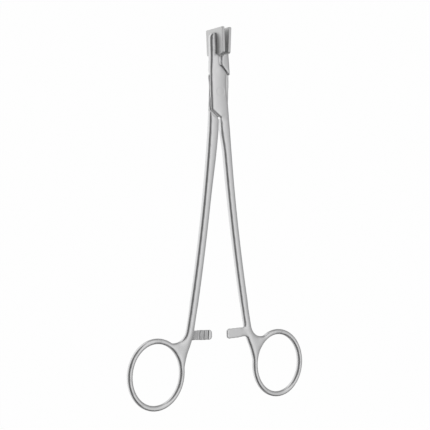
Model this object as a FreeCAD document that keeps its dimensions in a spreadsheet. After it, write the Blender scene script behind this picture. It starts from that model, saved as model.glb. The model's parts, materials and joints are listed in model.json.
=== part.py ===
import FreeCAD, Part
import math
import os
import re
import Sketcher

# Ring-handled press for gelatin sponge, in millimetres.
# Each half is one forging: finger ring, ratchet, shank, half-lapped joint and jaw.
# Both are drawn alike but for the joint's sides, and the rear one is turned half a turn
# about the long axis.
# A half is drawn closed, with the joint pin on Z, +Y towards the press plates
# and +Z towards the front. The placements at the end open it and lay it on a table.

TOUCH = 1e-4
NEAR = 0.5
HALF_TURN = 180

SIZES = [
    ("opening_angle", 4.7, "angle between the halves as shown, in degrees"),
    ("press_gap", 0.1, "gap left between the closed press faces"),
    ("joint_depth", 3.9, "thickness of the closed joint at the pin"),
    ("ring_depth", 3.1, "thickness at the far end of the finger rings"),
    ("stock_spare", 1.0, "spare thickness of the blank before the faces are cut"),
    ("lap_clearance", 0.04, "gap between the two lapped faces"),
    ("lap_reach", 7.0, "how far the lap cut runs out past the midline"),
    ("joint_wide", 5.1, "pin to the outer side that carries the jaw"),
    ("joint_wide_top", 6.0, "height where the wide side turns in to the jaw"),
    ("joint_wide_low", 8.5, "drop from the pin to the foot of the wide side"),
    ("joint_narrow", 4.4, "pin to the outer side over the other jaw"),
    ("joint_narrow_low", 4.0, "drop to the end of the waist on that side"),
    ("waist_depth", 0.6, "depth of the waist on that side"),
    ("cheek_spread", 0.6, "how much wider the rear half's joint is on its wide side"),
    ("cheek_flare", 1.5, "how much wider it is at the shoulder on the other side"),
    ("cheek_low", 2.0, "height where it gets flush with the front half's wide side"),
    ("shoulder_top", 13.0, "height of the upper shoulder at the meeting line"),
    ("shoulder_side", 8.8, "height of the upper shoulder at the outer side"),
    ("shoulder_clearance", 0.1, "gap at the closed upper shoulder"),
    ("crotch_side", 0.7, "midline to the inner edge of the shank at its top"),
    ("crotch_drop", 13.1, "drop to the inner end of the lap"),
    ("recess_side", 10.4, "drop to the lower shoulder at the outer side"),
    ("recess_low", 14.6, "drop to the lower shoulder at the midline"),
    ("shank_start", 18.0, "drop to the start of the shank"),
    ("shank_start_side", 5.1, "midline to the outer edge of the shank there"),
    ("shank_end_rise", 3.2, "height of the shank's end over the top of the ring"),
    ("shank_end_inset", 0.4, "outer edge of the shank there, inside the ring's near side"),
    ("shank_end_width", 4.1, "width of the shank there"),
    ("shank_bow_outer", 1.35, "bow of the outer edge towards the midline"),
    ("shank_bow_inner", 1.0, "bow of the inner edge towards the midline"),
    ("ring_side", 29.0, "midline to the centre of the finger ring, closed"),
    ("ring_drop", 132.8, "drop from the pin to the centre of the ring"),
    ("bore_wide", 24.8, "width of the finger opening"),
    ("bore_long", 28.2, "length of the finger opening"),
    ("ring_bar", 2.5, "width of the ring's bar"),
    ("web_turn", 25.0, "where the web's curve meets the ring, in degrees from its top"),
    ("web_sink", 0.45, "how far that curve runs into the ring's bar"),
    ("web_sag", 2.6, "depth of that curve"),
    ("neck_fall", 3.3, "drop from the ring's top to where the inner edge bends to it"),
    ("neck_inset", 3.1, "inner edge there, inside the ring's near side"),
    ("neck_sag", 0.7, "bulge of the inner edge from there to the ring"),
    ("neck_overlap", 0.5, "how far that edge runs into the ring"),
    ("edge_round", 1.1, "rounding of the long outer edges"),
    ("bore_round", 1.2, "rounding of the finger opening's edges"),
    ("seam_round", 0.3, "easing of the outer edges where the halves meet"),
    ("bend_round", 25.0, "rounding where two straight edges nearly line up"),
    ("stub_rise", 0.9, "height of the ratchet's middle over the top of the ring"),
    ("stub_width", 4.8, "width of the ratchet bar"),
    ("stub_reach", 1.0, "how far the ratchet passes the midline, closed"),
    ("stub_bury", 1.0, "how far the ratchet bar's root lies inside the neck"),
    ("stub_depth", 1.35, "thickness of the ratchet bar over its teeth"),
    ("stub_round", 1.6, "rounding of the ratchet bar's tip"),
    ("stub_edge", 0.35, "rounding of the ratchet bar's outer face"),
    ("ratchet_clearance", 0.1, "gap between the crests of the two ratchets"),
    ("tooth_count", 3, "number of ratchet teeth"),
    ("tooth_pitch", 2.3, "pitch of the ratchet"),
    ("tooth_depth", 0.75, "depth of the ratchet teeth"),
    ("tooth_first", 2.0, "tip to the first tooth's steep side"),
    ("tooth_lean", 0.25, "lean of each tooth's steep side"),
    ("jaw_side", 4.35, "midline to the outer side of the jaw, closed"),
    ("rib_side", 4.25, "midline to the crest of the jaw's rib at its nose"),
    ("rib_end", 28.3, "height where the jaw's rib ends on the plate"),
    ("rib_nose", 3.2, "length of the rib's rounded nose"),
    ("rib_bulge", 0.8, "bulge of that nose"),
    ("tongue_width", 4.3, "width across the round cut that ends the rib"),
    ("plate_heel", 17.6, "height of the plates' lower edge"),
    ("plate_length", 12.4, "height of the press plates"),
    ("plate_depth", 14.0, "width of the press plates"),
    ("plate_thickness", 1.4, "thickness of the press plates"),
    ("plate_corner", 1.0, "rounding of the plates' lower corners"),
    ("plate_corner_top", 0.4, "rounding of the plates' upper corners"),
    ("plate_edge", 0.15, "easing of the edges of the plates' faces"),
    ("pin_size", 3.6, "diameter of the joint pin"),
    ("pin_clearance", 0.06, "running clearance on the pin's diameter"),
    ("pin_sink", 0.02, "how far the ground pin ends lie below the faces"),
]

doc = FreeCAD.newDocument("gelatin_sponge_press")
sheet = doc.addObject("Spreadsheet::Sheet", "Sizes")
sheet.Label = "sizes"
size_names = set()
for row, (alias, value, note) in enumerate(SIZES, start=1):
    sheet.set("A%d" % row, alias)
    sheet.set("B%d" % row, str(value))
    sheet.set("C%d" % row, note)
    sheet.setAlias("B%d" % row, alias)
    size_names.add(alias)
doc.recompute()


def bound(text):
    """Point every size named in a formula at its cell in the sheet."""

    def to_cell(found):
        word = found.group(0)
        return "<<sizes>>." + word if word in size_names else word

    return re.sub(r"[a-z][a-z_]*", to_cell, text)


def measure(text):
    """Work a formula out from the sheet."""
    return float(sheet.evalExpression(bound(text)))


def origin_part(body, role):
    for feature in body.Origin.OriginFeatures:
        if feature.Role == role:
            return feature
    raise ValueError(role)


def new_sketch(body, name, role, lift=None):
    sketch = body.newObject("Sketcher::SketchObject", name)
    sketch.AttachmentSupport = [(origin_part(body, role), "")]
    sketch.MapMode = "FlatFace"
    if lift:
        sketch.setExpression("AttachmentOffset.Base.z", bound(lift))
    return sketch


def fix(sketch, parts, text):
    """Add one measured constraint and bind it to its formula."""
    number = sketch.addConstraint(Sketcher.Constraint(*parts, measure(text)))
    sketch.setExpression("Constraints[%d]" % number, bound(text))


def draw_outline(sketch, corners):
    """Draw a closed outline. A corner is its two formulas, and a third one, where
    given, is the rise of the arc to the next corner, positive to the right."""
    places = [FreeCAD.Vector(measure(c[0]), measure(c[1]), 0) for c in corners]
    first = sketch.GeometryCount
    count = len(corners)
    ends = []
    for i, corner in enumerate(corners):
        start = places[i]
        end = places[(i + 1) % count]
        if len(corner) == 3:
            along = (end - start).normalize()
            across = FreeCAD.Vector(along.y, -along.x, 0)
            middle = (start + end) * 0.5 + across * measure(corner[2])
            sketch.addGeometry(Part.Arc(start, middle, end), False)
        else:
            sketch.addGeometry(Part.LineSegment(start, end), False)
        # An arc may be stored from its other end.
        forward = sketch.getPoint(first + i, 1).distanceToPoint(start) < TOUCH
        ends.append((1, 2) if forward else (2, 1))
    for i in range(count):
        after = (i + 1) % count
        joint = (first + i, ends[i][1], first + after, ends[after][0])
        sketch.addConstraint(Sketcher.Constraint("Coincident", *joint))
    for i, corner in enumerate(corners):
        fix(sketch, ("DistanceX", -1, 1, first + i, ends[i][0]), corner[0])
        fix(sketch, ("DistanceY", -1, 1, first + i, ends[i][0]), corner[1])
        if len(corner) == 3:
            other = corners[(i + 1) % count]
            chord = "(pow(%s - (%s); 2) + pow(%s - (%s); 2))"
            chord = chord % (other[0], corner[0], other[1], corner[1])
            rise = "abs(%s)" % corner[2]
            fix(sketch, ("Radius", first + i), "%s / 8 / %s + %s / 2" % (chord, rise, rise))


def draw_ellipse(sketch, side, height, wide, long):
    """Draw an upright ellipse about a centre, from its full width and length."""
    centre = FreeCAD.Vector(measure(side), measure(height), 0)
    tall = centre + FreeCAD.Vector(0, measure(long) / 2, 0)
    broad = centre + FreeCAD.Vector(measure(wide) / 2, 0, 0)
    sketch.addGeometry(Part.Ellipse(tall, broad, centre), False)
    sketch.exposeInternalGeometry(0)
    fix(sketch, ("DistanceX", -1, 1, 0, 3), side)
    fix(sketch, ("DistanceY", -1, 1, 0, 3), height)
    sketch.addConstraint(Sketcher.Constraint("Vertical", 1))
    fix(sketch, ("Distance", 1), long)
    fix(sketch, ("Distance", 2), wide)


def draw_circle(sketch, diameter):
    circle = Part.Circle(FreeCAD.Vector(), FreeCAD.Vector(0, 0, 1), measure(diameter) / 2)
    sketch.addGeometry(circle, False)
    sketch.addConstraint(Sketcher.Constraint("Coincident", 0, 3, -1, 1))
    fix(sketch, ("Diameter", 0), diameter)


def pad(body, name, sketch, length, midplane=True):
    feature = body.newObject("PartDesign::Pad", name)
    feature.Profile = sketch
    feature.SideType = "Symmetric" if midplane else "One side"
    feature.setExpression("Length", bound(length))
    doc.recompute()
    return feature


def cut(body, name, sketch, length=None, midplane=True):
    """Cut along the sketch's normal, through everything if no length is given."""
    before = body.Shape.Volume
    feature = body.newObject("PartDesign::Pocket", name)
    feature.Profile = sketch
    feature.SideType = "Symmetric" if midplane else "One side"
    if length:
        feature.setExpression("Length", bound(length))
    else:
        feature.Type = "ThroughAll"
    doc.recompute()
    if not body.Shape.Volume < before:
        raise ValueError("%s cut nothing" % name)
    return feature


def round_edges(body, name, edges, radius):
    base = body.Tip
    feature = body.newObject("PartDesign::Fillet", name)
    feature.Base = (base, edges)
    feature.setExpression("Radius", bound(radius))
    doc.recompute()
    if "Invalid" in feature.State or "Error" in feature.State:
        raise ValueError("%s failed on %s" % (name, edges))
    return feature


def upright_edges(shape, places):
    """Names of the edges along Z that stand close to the given places."""
    names = []
    for number, edge in enumerate(shape.Edges, start=1):
        ends = [vertex.Point for vertex in edge.Vertexes]
        if len(ends) != 2 or ends[0].distanceToPoint(ends[1]) < NEAR:
            continue
        if math.hypot(ends[0].x - ends[1].x, ends[0].y - ends[1].y) > TOUCH:
            continue
        for side, height in places:
            if math.hypot(ends[0].x - measure(side), ends[0].y - measure(height)) < NEAR:
                names.append("Edge%d" % number)
    return names


def face_edges(shape, faces, wanted):
    """Names of the edges of the given faces whose middle passes the test."""
    names = []
    for number, edge in enumerate(shape.Edges, start=1):
        on_face = any(edge.isSame(other) for face in faces for other in face.Edges)
        middle = edge.valueAt((edge.FirstParameter + edge.LastParameter) / 2)
        if on_face and wanted(middle):
            names.append("Edge%d" % number)
    return names


def flat_faces(shape, way):
    """The flat faces that look more along the axis x, y or z than along the others."""
    found = []
    for face in shape.Faces:
        if isinstance(face.Surface, Part.Plane):
            normal = face.Surface.Axis
            most = max(abs(normal.x), abs(normal.y), abs(normal.z))
            if abs(getattr(normal, way)) == most:
                found.append(face)
    return found


# Places at the finger ring that the shank, the web and the ratchet are set out from.
RING_TOP = "(ring_drop - bore_long / 2 - ring_bar)"
RING_NEAR = "(ring_side - bore_wide / 2 - ring_bar)"
SHANK_END = RING_TOP + " - shank_end_rise"
SHANK_SIDE = RING_NEAR + " - shank_end_inset"
WEB_SIDE = "ring_side - (bore_wide / 2 + ring_bar - web_sink) * sin(web_turn)"
WEB_DROP = "ring_drop - (bore_long / 2 + ring_bar - web_sink) * cos(web_turn)"
NECK_DROP = RING_TOP + " + neck_fall"
NECK_SIDE = RING_NEAR + " - neck_inset"
STUB_DROP = RING_TOP + " - stub_rise"

# Fall of the upper shoulder from the meeting line outwards, the same on both halves.
SHOULDER_SLOPE = "(shoulder_top - shoulder_side) / (joint_narrow + press_gap / 2)"

# The front half's joint: its narrow side from the shoulder down, and its wide side up.
FRONT_NARROW = [
    ("joint_narrow", "shoulder_side", "waist_depth"),
    ("joint_narrow", "-joint_narrow_low"),
]
FRONT_WIDE = [
    ("-joint_wide", "-joint_wide_low"),
    ("-joint_wide", "joint_wide_top"),
]

# The same sides of the rear half, whose cheek is broader than the one that covers it.
REAR_NARROW = [
    ("joint_narrow + cheek_flare", "shoulder_side - cheek_flare * " + SHOULDER_SLOPE),
    ("joint_wide", "cheek_low"),
]
REAR_WIDE = [
    ("-joint_wide - cheek_spread", "-joint_wide_low"),
    ("-joint_wide - cheek_spread", "joint_wide_top"),
]

# Corners of one half from the front, closed, between and after those of its joint:
# into the ring and up the inner side to the lap, then up the jaw's rib.
HANDLE = [
    ("shank_start_side", "-shank_start", "shank_bow_outer"),
    (SHANK_SIDE, "-(%s)" % SHANK_END, "web_sag"),
    (WEB_SIDE, "-(%s)" % WEB_DROP),
    ("ring_side", "-ring_drop"),
    (RING_NEAR + " + neck_overlap", "-ring_drop", "neck_sag"),
    (NECK_SIDE, "-(%s)" % NECK_DROP),
    (SHANK_SIDE + " - shank_end_width", "-(%s)" % SHANK_END, "-shank_bow_inner"),
    ("crotch_side", "-shank_start"),
    ("crotch_side", "-crotch_drop"),
]
JAW = [
    ("-jaw_side", "plate_heel"),
    ("-rib_side", "rib_end - rib_nose", "-rib_bulge"),
    ("-press_gap / 2 - plate_thickness", "rib_end"),
    ("-press_gap / 2 - plate_thickness", "plate_heel"),
    ("-press_gap / 2", "plate_heel"),
    ("-press_gap / 2", "shoulder_top"),
]

# Places where two stretches of the outline nearly line up.
BENDS = [
    ("shank_start_side", "-shank_start"),
    (SHANK_SIDE, "-(%s)" % SHANK_END),
    (WEB_SIDE, "-(%s)" % WEB_DROP),
    ("crotch_side", "-shank_start"),
    ("-jaw_side", "plate_heel"),
    (SHANK_SIDE + " - shank_end_width", "-(%s)" % SHANK_END),
    (NECK_SIDE, "-(%s)" % NECK_DROP),
]


def face_level(height):
    """How far the front and rear faces lie from the middle plane at a height."""
    far = "(ring_drop + bore_long / 2 + ring_bar)"
    return "(joint_depth / 2 + %s * (joint_depth - ring_depth) / 2 / %s)" % (height, far)


def taper_outline(side):
    """The waste outside the front face, or outside the rear face where side is a minus."""
    near = "(plate_heel + plate_length)"
    beyond = "-(ring_drop + bore_long)"
    return [
        (near, side + face_level(near)),
        (beyond, side + face_level(beyond)),
        (beyond, side + "joint_depth"),
        (near, side + "joint_depth"),
    ]


def is_handled(point):
    """True on the long outer edges, false from the upper shoulder to the plate's seat."""
    return point.x < -measure("rib_side") / 2 or point.y < measure("shoulder_side")


def is_seam(point):
    """True on the outer edges where the halves meet, but not at the recess below the pin."""
    outside = abs(point.z) > measure("joint_depth / 4")
    level = -measure("recess_low") < point.y < measure("plate_heel") - NEAR
    return outside and level and max(point.y, point.z) > 0


def is_on_bore(point):
    side = point.x - measure("ring_side")
    height = point.y + measure("ring_drop")
    out = math.hypot(side / measure("bore_wide"), height / measure("bore_long"))
    return out < 0.5 + measure("ring_bar / bore_long / 2")


def build_half(label, narrow_side, wide_side, bore):
    body = doc.addObject("PartDesign::Body", label)
    body.Label = label
    blank = "joint_depth + stock_spare"

    plan = new_sketch(body, "plan", "XY_Plane")
    draw_outline(plan, narrow_side + HANDLE + wide_side + JAW)
    pad(body, "forging", plan, blank)

    ring = new_sketch(body, "ring", "XY_Plane")
    wide = "bore_wide + 2 * ring_bar"
    long = "bore_long + 2 * ring_bar"
    draw_ellipse(ring, "ring_side", "-ring_drop", wide, long)
    pad(body, "ring_disc", ring, blank)

    opening = new_sketch(body, "opening", "XY_Plane")
    draw_ellipse(opening, "ring_side", "-ring_drop", "bore_wide", "bore_long")
    cut(body, "finger_opening", opening)

    # Both faces fall away evenly from the plates to the far end of the ring.
    for side, name in (("", "front_face"), ("-", "rear_face")):
        taper = new_sketch(body, name + "_line", "YZ_Plane")
        draw_outline(taper, taper_outline(side))
        cut(body, name, taper)

    # The rib ends on the plate in a round tongue.
    tongue = new_sketch(body, "tongue", "YZ_Plane")
    centre = "(rib_end - tongue_width / 2)"
    corners = [
        (centre, "tongue_width / 2"),
        (centre, "joint_depth"),
        ("rib_end + rib_nose", "joint_depth"),
        ("rib_end + rib_nose", "-joint_depth"),
        (centre, "-joint_depth"),
        (centre, "-tongue_width / 2", "0.999 * tongue_width / 2"),
    ]
    draw_outline(tongue, corners)
    cut(body, "tongue_end", tongue)

    bends = upright_edges(body.Shape, BENDS + narrow_side[-1:] + wide_side[-1:])
    round_edges(body, "bends", bends, "bend_round")

    faces = flat_faces(body.Shape, "z")
    bore_rims = face_edges(body.Shape, faces, is_on_bore)
    round_edges(body, "bore_rims", bore_rims, "bore_round")
    faces = flat_faces(body.Shape, "z")
    rims = face_edges(body.Shape, faces, lambda p: is_handled(p) and not is_on_bore(p))
    round_edges(body, "rims", rims, "edge_round")

    # The lap: the other half's joint lies behind the pin's middle plane.
    lap = new_sketch(body, "lap", "XY_Plane", "lap_clearance / 2")
    fall = "(recess_low - recess_side) / (joint_narrow - crotch_side)"
    top = "shoulder_top + shoulder_clearance"
    corners = [
        ("-lap_reach", top + " - (lap_reach + press_gap / 2) * " + SHOULDER_SLOPE),
        ("press_gap / 2", top),
        ("lap_reach", top),
        ("lap_reach", "-recess_low + %s * (lap_reach - crotch_side)" % fall),
        ("crotch_side", "-recess_low"),
        ("-lap_reach", "-recess_low"),
    ]
    draw_outline(lap, corners)
    cut(body, "half_lap", lap, "joint_depth", midplane=False)
    walls = flat_faces(body.Shape, "x") + flat_faces(body.Shape, "y")
    sharp = face_edges(body.Shape, walls, is_seam)
    seams = face_edges(body.Shape, flat_faces(body.Shape, "z"), is_seam)
    round_edges(body, "seams", [name for name in seams if name in sharp], "seam_round")
    hole = new_sketch(body, "pin_place", "XY_Plane")
    draw_circle(hole, bore)
    cut(body, "pin_hole", hole)

    # The ratchet bar lies on the front half of the thickness, teeth to the rear.
    bar = new_sketch(body, "ratchet_bar_plan", "XY_Plane", "ratchet_clearance / 2")
    root = NECK_SIDE + " + stub_bury"
    corners = [
        ("-stub_reach", "-(%s) - stub_width / 2" % STUB_DROP),
        (root, "-(%s) - stub_width / 2" % STUB_DROP),
        (root, "-(%s) + stub_width / 2" % STUB_DROP),
        ("-stub_reach", "-(%s) + stub_width / 2" % STUB_DROP),
    ]
    draw_outline(bar, corners)
    pad(body, "ratchet_bar", bar, "stub_depth", midplane=False)
    tips = [corners[0], corners[3]]
    round_edges(body, "ratchet_tip", upright_edges(body.Shape, tips), "stub_round")
    outer = measure("ratchet_clearance / 2 + stub_depth")
    faces = [f for f in flat_faces(body.Shape, "z") if abs(f.CenterOfMass.z - outer) < TOUCH]
    free = measure(SHANK_SIDE + " - shank_end_width - stub_width / 2")
    rims = face_edges(body.Shape, faces, lambda p: p.x < free)
    round_edges(body, "ratchet_edges", rims, "stub_edge")
    tooth = new_sketch(body, "tooth", "XZ_Plane", STUB_DROP)
    start = "-stub_reach + tooth_first"
    crest = "ratchet_clearance / 2"
    corners = [
        (start, "-" + crest),
        ("%s + tooth_lean" % start, "%s + tooth_depth" % crest),
        ("%s + tooth_pitch" % start, crest),
        ("%s + tooth_pitch" % start, "-" + crest),
    ]
    draw_outline(tooth, corners)
    first_tooth = cut(body, "first_tooth", tooth, "stub_width + ring_bar")
    teeth = body.newObject("PartDesign::LinearPattern", "teeth")
    teeth.Originals = [first_tooth]
    teeth.Direction = (origin_part(body, "X_Axis"), [""])
    teeth.setExpression("Occurrences", bound("tooth_count"))
    teeth.setExpression("Length", bound("tooth_pitch * (tooth_count - 1)"))
    body.Tip = teeth
    doc.recompute()
    return body


def build_plate(label):
    body = doc.addObject("PartDesign::Body", label)
    body.Label = label
    outline = new_sketch(body, "outline", "XY_Plane")
    corners = [
        ("-press_gap / 2 - plate_thickness", "plate_heel"),
        ("-press_gap / 2", "plate_heel"),
        ("-press_gap / 2", "plate_heel + plate_length"),
        ("-press_gap / 2 - plate_thickness", "plate_heel + plate_length"),
    ]
    draw_outline(outline, corners)
    pad(body, "sheet", outline, "plate_depth")
    for name, low, radius in (
        ("lower_corners", True, "plate_corner"),
        ("upper_corners", False, "plate_corner_top"),
    ):
        height = measure("plate_heel") if low else measure("plate_heel + plate_length")
        edges = face_edges(
            body.Shape,
            flat_faces(body.Shape, "z"),
            lambda p: abs(p.y - height) < TOUCH,
        )
        round_edges(body, name, edges, radius)
    edges = face_edges(body.Shape, flat_faces(body.Shape, "x"), lambda p: True)
    round_edges(body, "eased_edges", edges, "plate_edge")
    return body


def build_pin(label):
    body = doc.addObject("PartDesign::Body", label)
    body.Label = label
    outline = new_sketch(body, "outline", "XY_Plane")
    draw_circle(outline, "pin_size")
    pad(body, "rod", outline, "joint_depth - 2 * pin_sink")
    return body


front_half = build_half("front_half", FRONT_NARROW, FRONT_WIDE, "pin_size + pin_clearance")
rear_half = build_half("rear_half", REAR_NARROW, REAR_WIDE, "pin_size")
left_plate = build_plate("left_press_plate")
right_plate = build_plate("right_press_plate")
joint_pin = build_pin("joint_pin")

# The closed halves open about the pin, then the press lies down on its plates and rings.
opened = measure("opening_angle") / 2
reach = measure("plate_heel + ring_drop + bore_long / 2 + ring_bar / 2")
pitch = math.degrees(math.atan(measure("(plate_depth - ring_depth) / 2") / reach))
X_AXIS = FreeCAD.Vector(1, 0, 0)
Y_AXIS = FreeCAD.Vector(0, 1, 0)
Z_AXIS = FreeCAD.Vector(0, 0, 1)
lie = FreeCAD.Rotation(X_AXIS, pitch)
forward = lie.multiply(FreeCAD.Rotation(Z_AXIS, opened))
turned_over = FreeCAD.Rotation(Y_AXIS, HALF_TURN)
turned = lie.multiply(FreeCAD.Rotation(Z_AXIS, -opened)).multiply(turned_over)
turns = [
    (front_half, forward),
    (left_plate, forward),
    (rear_half, turned),
    (right_plate, turned),
    (joint_pin, turned),
]
for body, turn in turns:
    body.Placement = FreeCAD.Placement(FreeCAD.Vector(), turn)
doc.recompute()
extent = FreeCAD.BoundBox()
for body, turn in turns:
    extent.add(body.Shape.optimalBoundingBox(False))
shift = FreeCAD.Vector(-extent.Center.x, -extent.Center.y, -extent.ZMin)
for body, turn in turns:
    body.Placement = FreeCAD.Placement(shift, turn)
doc.recompute()

for item in doc.Objects:
    if "Invalid" in item.State or "Error" in item.State:
        raise ValueError("%s failed to build" % item.Label)
os.makedirs("parts", exist_ok=True)
for body, turn in turns:
    if body.Shape.isNull() or not body.Shape.isValid():
        raise ValueError("%s is not a sound solid" % body.Label)
    body.Shape.exportStep("parts/%s.step" % body.Label)
    print(body.Label, round(body.Shape.Volume, 2), len(body.Shape.Solids), len(body.Shape.Faces))
axis = lie.multVec(Z_AXIS)
print("size", extent.XLength, extent.YLength, extent.ZLength)
print("pin at", tuple(shift), "axis", tuple(axis), "pitch", pitch)
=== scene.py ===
import json
import math
import bpy
import numpy as np
from mathutils import Matrix, Vector
from mathutils.kdtree import KDTree


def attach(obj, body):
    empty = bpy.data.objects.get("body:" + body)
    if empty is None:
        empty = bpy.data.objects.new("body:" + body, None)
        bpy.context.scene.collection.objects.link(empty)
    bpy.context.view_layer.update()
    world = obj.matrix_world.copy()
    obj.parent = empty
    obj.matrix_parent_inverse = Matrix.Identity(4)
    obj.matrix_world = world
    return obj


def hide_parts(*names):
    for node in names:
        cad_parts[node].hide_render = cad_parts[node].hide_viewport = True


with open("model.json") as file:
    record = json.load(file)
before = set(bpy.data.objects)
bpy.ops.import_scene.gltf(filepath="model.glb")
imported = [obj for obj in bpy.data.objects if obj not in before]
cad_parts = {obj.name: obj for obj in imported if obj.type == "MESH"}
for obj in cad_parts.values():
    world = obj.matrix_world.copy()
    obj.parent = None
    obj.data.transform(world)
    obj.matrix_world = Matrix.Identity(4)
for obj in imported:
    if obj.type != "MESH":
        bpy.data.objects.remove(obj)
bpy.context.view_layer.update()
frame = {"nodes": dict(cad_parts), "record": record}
record = frame["record"]
scene = bpy.context.scene
scene.view_settings.view_transform = "Standard"

HINGE = record["behaviour"]["joints"][0]
PIN = Vector(HINGE["pos_m"])
AXIS = Vector(HINGE["axis"])

# Camera: its lean from the pin's axis, its roll, its distance and its centre over the press.
LEAN = math.radians(33)
ROLL = math.radians(0.11)
DISTANCE = 0.473
CENTRE_RIGHT = 0.00186
CENTRE_UP = 0.0585
FOCAL_PX = 995
FRAME_PX = 430
SENSOR = 36

# Light from each direction across the press, in degrees from straight above, right positive.
LIGHT_ROUND = [
    (-180, 0.85),
    (-147, 0.95),
    (-124, 0.7),
    (-98, 0.17),
    (-60, 0.13),
    (-30, 0.15),
    (-14, 0.45),
    (2, 0.8),
    (16, 0.86),
    (33, 0.64),
    (51, 0.42),
    (90, 0.3),
    (150, 0.32),
    (180, 0.85),
]

# How it falls off towards the rings: where along a direction's Y that begins and ends, and what is left.
FALL_START = -0.4
FALL_END = -0.9
FALL_LEVEL = 0.4

# Each half's own frame: the pin at its origin, +Y to its press plate, +Z out of the lap.
PITCH = math.atan2(-AXIS.y, AXIS.z)
OPENED = math.radians(-HINGE["range_deg"][0] / 2)
LYING = Matrix.Translation(PIN) @ Matrix.Rotation(PITCH, 4, "X")
FRONT_FRAME = LYING @ Matrix.Rotation(OPENED, 4, "Z")
REAR_FRAME = LYING @ Matrix.Rotation(-OPENED, 4, "Z") @ Matrix.Rotation(math.pi, 4, "Y")

# From here to the pin, lengths are in millimetres in that frame. FACE is the height of the flat faces.
# The outline is where a normal's Z is under SIDE_TILT, but for the lap's walls inside the joint.
VOXEL = 0.2
FACE = 1.9
SIDE_TILT = 0.35
JOINT_INSIDE = 3.3

# How much lower the faces are at their outline than in the middle, and how far in that reaches.
SHANK_CROWN = 0.26
SHANK_REACH = 2.3
JOINT_CROWN = 0.36
JOINT_REACH = 4.6
RIB_CROWN = 0.6
RIB_REACH = 2.9

# Stretches over which something sets in, each from none to full.
JOINT_STRETCH = (-30, -14)
RIB_STRETCH = (15, 21)
ABOVE_BAR = (-104, -100)
BESIDE_BAR = (8, 10)
BESIDE_BAR_CROWN = (8, 11)
ABOVE_SHANK = (-20, -18)
OFF_LAP = (0.6, 1)
ROOT_NEAR = (6.6, 8.4)
ROOT_FAR = (17, 19)
ROOT_LOW = (-128, -122)
SEAM_SIDE = (6, 7)
SEAM_LOW = (-18, -16)
SEAM_HIGH = (16, 17)
OFF_PIN = (2.6, 3.4)
HANDLE_STRETCH = (-115, -50)

# How many rounds the surface is relaxed, how much of its ridges goes each time, and after how many
# rounds its normals are read again. Under SEAM_FACE the seams are shaved on the rings' side only.
NORMALS_EVERY = 10
SKIN_ROUNDS = 10
CROWN_ROUNDS = 30
ROOT_ROUNDS = 800
ROOT_SHAVE = 0.1
SEAM_ROUNDS = 30
SEAM_SHAVE = 0.6
SEAM_FACE = -0.4

# The crotch, by its drop from the pin and its width from the middle. Its inner edge comes nearer
# to the middle, most at the corner under the lap, and no nearer than CROTCH_FACE.
CROTCH_CLOSE = 0.8
CORNER_CLOSE = 1.2
CROTCH_START = (9.5, 11.5)
CROTCH_FADE = 16
FRONT_CROTCH_END = 30
REAR_CROTCH_END = 60
CORNER_DROP = 12.7
CORNER_SPREAD = 1.1
EDGE_MIDDLE = 0.7
EDGE_FLAT = 0.8
EDGE_REACH = 3.2
CORNER_REACH = 1.2
CROTCH_FACE = 0.08

# The pin's shaft and its slightly domed heads.
PIN_RADIUS = 1.8
PIN_HEAD = 2.15
PIN_END = 1.912
PIN_DOME = 0.02
PIN_LIP = 0.35
PIN_STEPS = 10
PIN_TURNS = 64
PIN_CREASE = math.radians(40)

# Steels: colour, roughness, and noise cells to the metre along each of the row's axes.
STEEL = (0.87, 0.87, 0.875)
STEEL_ROUGHNESS = 0.32
STEEL_LINES = (9000, 700, 9000)
# The plates' grey is darker than STEEL: a painted shade on the press plates, which the lighting alone
# leaves too light.
PLATE_STEEL_SHADED = (0.78, 0.78, 0.78)
PLATE_ROUGHNESS = 0.45
PLATE_LINES = (700, 9000, 700)
LINE_DETAIL = 3
LINE_DARK = 0.95
LINE_LIGHT = 1.04
LINE_DEPTH = 0.00001
BUMP_STRENGTH = 0.1
CLOUD_SCALE = 260
CLOUD_DETAIL = 4
ROUGHNESS_SPREAD = 0.05

# The floor, in metres, its grey, and how much of it is plain white to the camera.
FLOOR_HALF = 1.5
FLOOR_GREY = 0.8
FLOOR_GLOW = 0.985


def new_material(name):
    """A material with an empty node tree and its output."""
    material = bpy.data.materials.new(name)
    material.use_nodes = True
    tree = material.node_tree
    tree.nodes.clear()
    output = tree.nodes.new("ShaderNodeOutputMaterial")
    return material, tree, output


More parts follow.
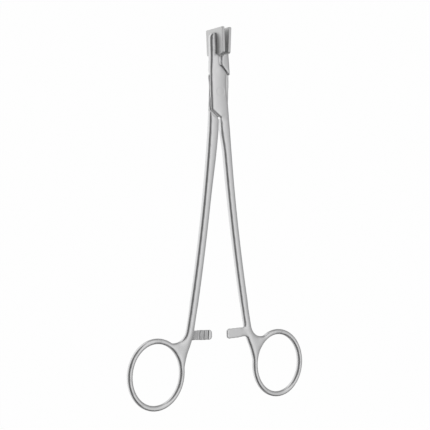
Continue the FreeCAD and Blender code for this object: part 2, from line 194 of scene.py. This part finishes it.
def ground_steel(name, colour, roughness, stretch):
    """Satin stainless steel: fine grinding lines along the piece, over a soft unevenness."""
    material, tree, output = new_material(name)
    add = tree.nodes.new
    link = tree.links.new
    place = add("ShaderNodeTexCoord")
    shader = add("ShaderNodeBsdfPrincipled")
    shader.inputs["Metallic"].default_value = 1
    link(shader.outputs["BSDF"], output.inputs["Surface"])

    mapping = add("ShaderNodeMapping")
    mapping.inputs["Scale"].default_value = stretch
    link(place.outputs["Object"], mapping.inputs["Vector"])
    lines = add("ShaderNodeTexNoise")
    lines.inputs["Scale"].default_value = 1
    lines.inputs["Detail"].default_value = LINE_DETAIL
    link(mapping.outputs["Vector"], lines.inputs["Vector"])
    cloud = add("ShaderNodeTexNoise")
    cloud.inputs["Scale"].default_value = CLOUD_SCALE
    cloud.inputs["Detail"].default_value = CLOUD_DETAIL
    link(place.outputs["Object"], cloud.inputs["Vector"])

    tone = add("ShaderNodeMapRange")
    tone.inputs["To Min"].default_value = roughness - ROUGHNESS_SPREAD
    tone.inputs["To Max"].default_value = roughness + ROUGHNESS_SPREAD
    link(cloud.outputs["Fac"], tone.inputs["Value"])
    link(tone.outputs["Result"], shader.inputs["Roughness"])

    shade = add("ShaderNodeMix")
    shade.data_type = "RGBA"
    shade.inputs["A"].default_value = (*[c * LINE_DARK for c in colour], 1)
    shade.inputs["B"].default_value = (*[min(c * LINE_LIGHT, 1) for c in colour], 1)
    link(lines.outputs["Fac"], shade.inputs["Factor"])
    link(shade.outputs["Result"], shader.inputs["Base Color"])

    bump = add("ShaderNodeBump")
    bump.inputs["Strength"].default_value = BUMP_STRENGTH
    bump.inputs["Distance"].default_value = LINE_DEPTH
    link(lines.outputs["Fac"], bump.inputs["Height"])
    link(bump.outputs["Normal"], shader.inputs["Normal"])
    return material


def white_floor():
    """White to camera and glossy rays, with a faint shadow under the press."""
    material, tree, output = new_material("white_floor")
    add = tree.nodes.new
    link = tree.links.new
    rays = add("ShaderNodeLightPath")
    seen = add("ShaderNodeMath")
    seen.operation = "MAXIMUM"
    link(rays.outputs["Is Camera Ray"], seen.inputs[0])
    link(rays.outputs["Is Glossy Ray"], seen.inputs[1])
    paint = add("ShaderNodeBsdfDiffuse")
    paint.inputs["Color"].default_value = (FLOOR_GREY, FLOOR_GREY, FLOOR_GREY, 1)
    glow = add("ShaderNodeEmission")
    glow.inputs["Strength"].default_value = 1
    share = add("ShaderNodeMath")
    share.operation = "MULTIPLY"
    share.inputs[1].default_value = FLOOR_GLOW
    link(seen.outputs["Value"], share.inputs[0])
    mix = add("ShaderNodeMixShader")
    link(share.outputs["Value"], mix.inputs["Fac"])
    link(paint.outputs["BSDF"], mix.inputs[1])
    link(glow.outputs["Emission"], mix.inputs[2])
    link(mix.outputs["Shader"], output.inputs["Surface"])
    return material


def ease(value, start, end):
    """Rises smoothly from 0 at the start to 1 at the end."""
    share = np.clip((value - start) / (end - start), 0, 1)
    return share * share * (3 - 2 * share)


def dense_copy(node, name):
    """A copy of a node's surface in small even faces."""
    piece = bpy.data.objects.new(name, node.data.copy())
    scene.collection.objects.link(piece)
    remesh = piece.modifiers.new("even", "REMESH")
    remesh.mode = "VOXEL"
    remesh.voxel_size = VOXEL / 1000
    seen = piece.evaluated_get(bpy.context.evaluated_depsgraph_get())
    mesh = bpy.data.meshes.new_from_object(seen)
    piece.modifiers.clear()
    piece.data = mesh
    mesh.shade_smooth()
    return piece


def read_vectors(items, key, width=3):
    """One row of numbers for each vertex or edge."""
    numbers = np.empty(len(items) * width, dtype=np.int32 if key == "vertices" else np.float32)
    items.foreach_get(key, numbers)
    return numbers.reshape(-1, width)


def write_places(mesh, places):
    """Move the vertices to these places."""
    mesh.vertices.foreach_set("co", (places / 1000).astype(np.float32).ravel())
    mesh.update()


def edge_ends(mesh):
    """Every edge both ways: the vertex at one end, and the one at the other."""
    edges = read_vectors(mesh.edges, "vertices", 2)
    ends = np.concatenate((edges[:, 0], edges[:, 1]))
    others = np.concatenate((edges[:, 1], edges[:, 0]))
    return ends, others


def relax(mesh, places, fill, shave, rounds):
    """Fill hollows and shave ridges bit by bit, each vertex by its own weights."""
    count = len(places)
    moving = (fill > 0) | (shave > 0)
    moved = np.flatnonzero(moving)
    ends, others = edge_ends(mesh)
    others = others[moving[ends]]
    ends = ends[moving[ends]]
    degree = np.maximum(np.bincount(ends, minlength=count), 1)[:, None]
    for turn in range(rounds):
        if turn % NORMALS_EVERY == 0:
            write_places(mesh, places)
            normals = read_vectors(mesh.vertices, "normal")
        sums = np.stack([np.bincount(ends, places[others, k], count) for k in range(3)], axis=1)
        bend = np.sum((sums / degree - places)[moved] * normals[moved], axis=1)
        step = np.where(bend > 0, fill[moved], shave[moved]) * bend / 2
        places[moved] += step[:, None] * normals[moved]


def evened(mesh, values, rounds):
    """Each vertex's value evened out with its neighbours'."""
    ends, others = edge_ends(mesh)
    degree = np.maximum(np.bincount(ends, minlength=len(values)), 1)
    for turn in range(rounds):
        values = (values + np.bincount(ends, values[others], len(values)) / degree) / 2
    return values


def bar_share(places, beside):
    """1 on the ratchet bar, 0 off it."""
    x, y, z = places.T
    return (1 - ease(y, *ABOVE_BAR)) * (1 - ease(x, *beside))


def outline_tree(places, normals):
    """The half's outer sides, seen from the front, to measure from."""
    x, y, z = places.T
    inside = (y > JOINT_STRETCH[1]) & (np.abs(x) < JOINT_INSIDE)
    rim = places[(np.abs(normals[:, 2]) < SIDE_TILT) & ~inside]
    tree = KDTree(len(rim))
    for number, place in enumerate(rim):
        tree.insert((place[0], place[1], 0), number)
    tree.balance()
    return tree


def along(y, shank, joint, rib):
    """A value that changes from the shank to the joint, and from there to the rib."""
    value = shank + (joint - shank) * ease(y, *JOINT_STRETCH)
    return value + (rib - joint) * ease(y, *RIB_STRETCH)


def crown_share(places, tree):
    """How much lower the faces lie there, as a share of their height."""
    x, y, z = places.T
    away = np.array([tree.find((a, b, 0))[2] for a, b in zip(x, y)])
    reach = along(y, SHANK_REACH, JOINT_REACH, RIB_REACH)
    drop = along(y, SHANK_CROWN, JOINT_CROWN, RIB_CROWN)
    off_bar = 1 - bar_share(places, BESIDE_BAR_CROWN)
    return np.clip(1 - away / reach, 0, 1) ** 2 * off_bar * drop / FACE


def smooth_skin(mesh, places):
    """Even out the remeshed surface, but keep the ratchet's teeth and the lap's inner corners."""
    x, y, z = places.T
    off_bar = 1 - bar_share(places, BESIDE_BAR)
    off_corner = np.maximum(1 - ease(y, *ABOVE_SHANK), ease(np.abs(z), *OFF_LAP))
    relax(mesh, places, off_bar * off_corner, off_bar, SKIN_ROUNDS)


def close_crotch(places, end):
    """Bring the crotch's inner edge nearer to the middle, down to the given end."""
    x, y, z = places.T
    close = ease(-y, *CROTCH_START) * (1 - ease(-y, CROTCH_FADE, end))
    corner = np.exp(-(((y + CORNER_DROP) / CORNER_SPREAD) ** 2))
    shift = (CROTCH_CLOSE + CORNER_CLOSE * corner) * close
    reach = EDGE_REACH + CORNER_REACH * corner
    nearer = x - shift * (1 - ease(np.abs(x - EDGE_MIDDLE), EDGE_FLAT, reach))
    places[:, 0] = np.maximum(nearer, np.minimum(x, CROTCH_FACE))


def blend_root(mesh, places):
    """Fill the corners where the ratchet bar leaves the shank."""
    x, y, z = places.T
    across = ease(x, *ROOT_NEAR) * (1 - ease(x, *ROOT_FAR))
    root = across * (1 - ease(y, *ABOVE_BAR)) * ease(y, *ROOT_LOW)
    relax(mesh, places, root, root * ROOT_SHAVE, ROOT_ROUNDS)


def soften_edges(mesh, places):
    """Shave the joint's seams and the handle's edges."""
    x, y, z = places.T
    seam = (1 - ease(np.abs(x), *SEAM_SIDE)) * ease(y, *SEAM_LOW) * (1 - ease(y, *SEAM_HIGH))
    seam = seam * ease(np.hypot(x, y), *OFF_PIN) * ((z > SEAM_FACE) | (y < 0))
    handle = 1 - ease(y, *HANDLE_STRETCH)
    shave = np.maximum(seam, handle) * SEAM_SHAVE
    relax(mesh, places, np.zeros(len(places)), shave, SEAM_ROUNDS)


def finished_half(node, name, own, body, crotch_end):
    """A half with crowned faces, a blended ratchet root and softened seams."""
    piece = dense_copy(frame["nodes"][node], name)
    mesh = piece.data
    mesh.transform(own.inverted())
    places = read_vectors(mesh.vertices, "co") * 1000.0
    smooth_skin(mesh, places)
    close_crotch(places, crotch_end)
    write_places(mesh, places)
    tree = outline_tree(places, read_vectors(mesh.vertices, "normal"))
    lower = evened(mesh, crown_share(places, tree), CROWN_ROUNDS)
    places[:, 2] = places[:, 2] * (1 - lower)
    blend_root(mesh, places)
    soften_edges(mesh, places)
    write_places(mesh, places)
    mesh.transform(own)
    mesh.update()
    mesh.materials.clear()
    mesh.materials.append(satin)
    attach(piece, body)
    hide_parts(node)
    return tree


def turned_faces(bands, turns):
    """The faces between the rings of a turned profile."""
    faces = []
    for band in range(bands):
        ring = band * turns
        for i in range(turns):
            after = (i + 1) % turns
            faces.append((ring + i, ring + turns + i, ring + turns + after, ring + after))
    return faces


def finished_pin(front_tree, rear_tree):
    """The joint pin, its heads ground flush with the crowned faces."""
    shares = [i / PIN_STEPS for i in range(PIN_STEPS + 1)]
    head = [(PIN_HEAD * s, PIN_END - PIN_DOME * s * s) for s in shares]
    shaft = [(PIN_RADIUS, PIN_END - PIN_LIP), (PIN_RADIUS, PIN_LIP - PIN_END)]
    profile = head + shaft + [(r, -h) for r, h in reversed(head)]
    turns = [2 * math.pi * i / PIN_TURNS for i in range(PIN_TURNS)]
    places = np.array([(r * math.cos(t), r * math.sin(t), h) for r, h in profile for t in turns])
    upper = places[:, 2] > 0
    mirrored = places[~upper] * (-1, 1, 1)
    places[upper, 2] *= 1 - crown_share(places[upper], front_tree)
    places[~upper, 2] *= 1 - crown_share(mirrored, rear_tree)
    mesh = bpy.data.meshes.new("joint_pin_finished")
    mesh.from_pydata((places / 1000).tolist(), [], turned_faces(len(profile) - 1, PIN_TURNS))
    mesh.shade_smooth()
    mesh.set_sharp_from_angle(angle=PIN_CREASE)
    mesh.transform(LYING)
    mesh.materials.append(satin)
    pin = bpy.data.objects.new("joint_pin_finished", mesh)
    scene.collection.objects.link(pin)
    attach(pin, "rear")
    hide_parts("joint_pin")


def build_floor():
    """The floor under the press. Reflections in the steel show the world in its place."""
    half = FLOOR_HALF
    mesh = bpy.data.meshes.new("floor")
    corners = [(-half, -half, 0), (half, -half, 0), (half, half, 0), (-half, half, 0)]
    mesh.from_pydata(corners, [], [(0, 1, 2, 3)])
    mesh.materials.append(white_floor())
    floor = bpy.data.objects.new("floor", mesh)
    floor.visible_glossy = False
    scene.collection.objects.link(floor)


def build_world():
    """White to the camera. Around the press it is light on the right and dark on the left."""
    world = bpy.data.worlds.new("studio")
    scene.world = world
    world.use_nodes = True
    tree = world.node_tree
    tree.nodes.clear()
    add = tree.nodes.new
    link = tree.links.new
    output = add("ShaderNodeOutputWorld")
    place = add("ShaderNodeTexCoord")
    sides = add("ShaderNodeSeparateXYZ")
    link(place.outputs["Generated"], sides.inputs["Vector"])
    turn = add("ShaderNodeMath")
    turn.operation = "ARCTAN2"
    link(sides.outputs["X"], turn.inputs[0])
    link(sides.outputs["Z"], turn.inputs[1])
    share = add("ShaderNodeMapRange")
    share.inputs["From Min"].default_value = -math.pi
    share.inputs["From Max"].default_value = math.pi
    link(turn.outputs["Value"], share.inputs["Value"])
    level = add("ShaderNodeValToRGB")
    level.color_ramp.interpolation = "EASE"
    stops = level.color_ramp.elements
    stops[0].position = 0
    stops[1].position = 1
    for angle, grey in LIGHT_ROUND[1:-1]:
        stops.new((angle + 180) / 360)
    for stop, (angle, grey) in zip(stops, LIGHT_ROUND):
        stop.color = (grey, grey, grey, 1)
    link(share.outputs["Result"], level.inputs["Fac"])
    fall = add("ShaderNodeMapRange")
    fall.interpolation_type = "SMOOTHSTEP"
    fall.inputs["From Min"].default_value = FALL_END
    fall.inputs["From Max"].default_value = FALL_START
    fall.inputs["To Min"].default_value = FALL_LEVEL
    link(sides.outputs["Y"], fall.inputs["Value"])
    around = add("ShaderNodeBackground")
    link(level.outputs["Color"], around.inputs["Color"])
    link(fall.outputs["Result"], around.inputs["Strength"])
    white = add("ShaderNodeBackground")
    white.inputs["Color"].default_value = (1, 1, 1, 1)
    rays = add("ShaderNodeLightPath")
    mix = add("ShaderNodeMixShader")
    link(rays.outputs["Is Camera Ray"], mix.inputs["Fac"])
    link(around.outputs["Background"], mix.inputs[1])
    link(white.outputs["Background"], mix.inputs[2])
    link(mix.outputs["Shader"], output.inputs["Surface"])


def build_camera():
    """Looks down on the press from its left, square to its length."""
    away = AXIS.normalized()
    right = Vector((1, 0, 0))
    up = away.cross(right)
    view_right = right * math.cos(LEAN) + away * math.sin(LEAN)
    view_back = away * math.cos(LEAN) - right * math.sin(LEAN)
    place = PIN + view_back * DISTANCE - view_right * CENTRE_RIGHT - up * CENTRE_UP
    camera = bpy.data.objects.new("camera", bpy.data.cameras.new("camera"))
    scene.collection.objects.link(camera)
    turn = Matrix((view_right, up, view_back)).transposed().to_4x4() @ Matrix.Rotation(-ROLL, 4, "Z")
    camera.matrix_world = Matrix.Translation(place) @ turn
    camera.data.sensor_width = SENSOR
    camera.data.lens = FOCAL_PX / FRAME_PX * SENSOR
    scene.camera = camera


satin = ground_steel("satin_steel", STEEL, STEEL_ROUGHNESS, STEEL_LINES)
# The press plates get the darker grey, a painted shade, with their own roughness and cross lines.
plate = ground_steel("plate_steel", PLATE_STEEL_SHADED, PLATE_ROUGHNESS, PLATE_LINES)
for name, node in frame["nodes"].items():
    node.data.materials.clear()
    node.data.materials.append(plate if "plate" in name else satin)

front_tree = finished_half(
    "front_half", "front_half_finished", FRONT_FRAME, "front", FRONT_CROTCH_END)
rear_tree = finished_half(
    "rear_half", "rear_half_finished", REAR_FRAME, "rear", REAR_CROTCH_END)
finished_pin(front_tree, rear_tree)

build_floor()
build_world()
build_camera()
